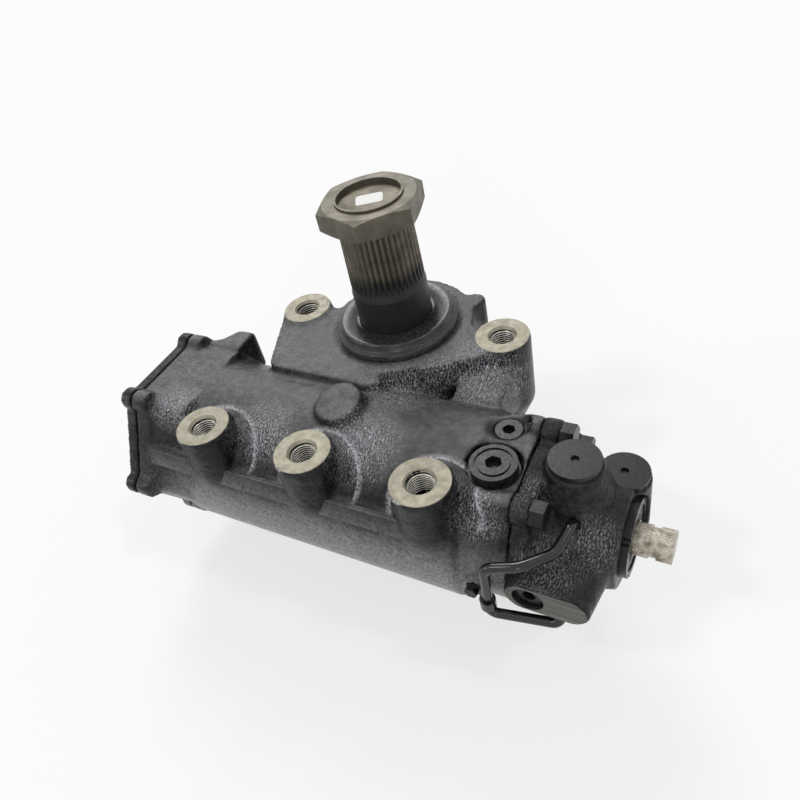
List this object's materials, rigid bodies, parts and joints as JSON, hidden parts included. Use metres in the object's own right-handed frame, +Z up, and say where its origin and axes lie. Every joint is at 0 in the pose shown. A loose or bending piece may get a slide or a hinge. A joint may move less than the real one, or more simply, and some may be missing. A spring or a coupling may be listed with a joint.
{
  "type": "power steering gear",
  "caption": "Integral hydraulic truck steering gear with a recirculating-ball piston, a serrated output shaft under a large hexagon nut and a rotary valve on the input shaft.",
  "frame": {"origin": "where the output shaft axis meets the plane of the five machined mounting faces", "axes": "+Z up along the output shaft, +X along the piston bore towards the input shaft, -Y towards the row of three bosses"},
  "size_m": [0.4415, 0.2596, 0.2842],
  "materials": {
    "cast_housing": "satin black paint over cast iron",
    "cast_cover": "satin black paint over cast iron",
    "rubber": "moulded nitrile",
    "dust_cap": "black, slightly worn",
    "ring_plastic": "filled PTFE",
    "dark_fastener": "painted over with the housing",
    "shaft_steel": "oiled dark steel",
    "nut_steel": "phosphated steel",
    "input_steel": "bright turned steel",
    "copper_washer": "soft copper, painted over",
    "cap_plastic": "moulded black plastic",
    "pipe_black": "painted steel tube",
    "ground_steel": "ground steel"
  },
  "bodies": {
    "case": {"adjuster_plug": "dark_fastener", "adjuster_ring": "dark_fastener", "adjusting_locknut": "dark_fastener", "adjusting_screw": "dark_fastener", "bearing_nut": "ground_steel", "dust_cap": "dust_cap", "end_cover": "cast_cover", "end_cover_screws": "dark_fastener", "end_cover_seal": "rubber", "front_thrust_bearing": "ground_steel", "gallery_plug": "dark_fastener", "housing": "cast_housing", "input_bearing": "ground_steel", "input_seal": "rubber", "limiter_plug": "dark_fastener", "lower_bearing_cup": "ground_steel", "lower_bearing_needles": "ground_steel", "output_seal": "rubber", "pipe_clip": "pipe_black", "pipe_clip_screw": "dark_fastener", "pressure_port_cap": "cap_plastic", "rear_thrust_bearing": "ground_steel", "relief_plug": "dark_fastener", "relief_washer": "copper_washer", "return_port_cap": "cap_plastic", "side_cover": "cast_cover", "side_cover_bolts": "dark_fastener", "side_cover_seal": "rubber", "stop_locknut": "dark_fastener", "stop_screw": "dark_fastener", "transfer_pipe": "pipe_black", "upper_bearing_cup": "ground_steel", "upper_bearing_needles": "ground_steel", "valve_housing": "cast_housing", "valve_housing_bolts": "dark_fastener"},
    "sector": {"sector_shaft": "shaft_steel", "pitman_nut": "nut_steel", "adjuster_retainer": "ground_steel"},
    "piston": {"rack_piston": "ground_steel", "piston_ring": "ring_plastic", "ball_return_tube": "ground_steel", "recirculating_balls": "ground_steel"},
    "worm": {"worm_shaft": "ground_steel", "worm_pin": "ground_steel", "torsion_bar": "ground_steel", "valve_sleeve": "ground_steel"},
    "input": {"input_shaft": "input_steel", "input_pin": "ground_steel"}
  },
  "joints": [
    {"name": "sector_turn", "type": "hinge", "parent": "case", "child": "sector", "pos_m": [0, 0, 0], "axis": [0, 0, 1], "range_deg": [-45, 45]},
    {"name": "piston_slide", "type": "slide", "parent": "case", "child": "piston", "axis": [1, 0, 0], "range_m": [-0.0409, 0.0409]},
    {"name": "worm_turn", "type": "hinge", "parent": "case", "child": "worm", "pos_m": [0, -0.1, -0.068], "axis": [1, 0, 0], "range_deg": [-1090, 1090]},
    {"name": "valve_twist", "type": "hinge", "parent": "worm", "child": "input", "pos_m": [0.2, -0.1, -0.068], "axis": [1, 0, 0], "range_deg": [-4, 4], "stiffness_Nm_per_rad": 100}
  ],
  "couplings": [
    {"joint": "piston_slide", "follows": "sector_turn", "m_per_rad": 0.052},
    {"joint": "worm_turn", "follows": "sector_turn", "ratio": -24.202}
  ]
}
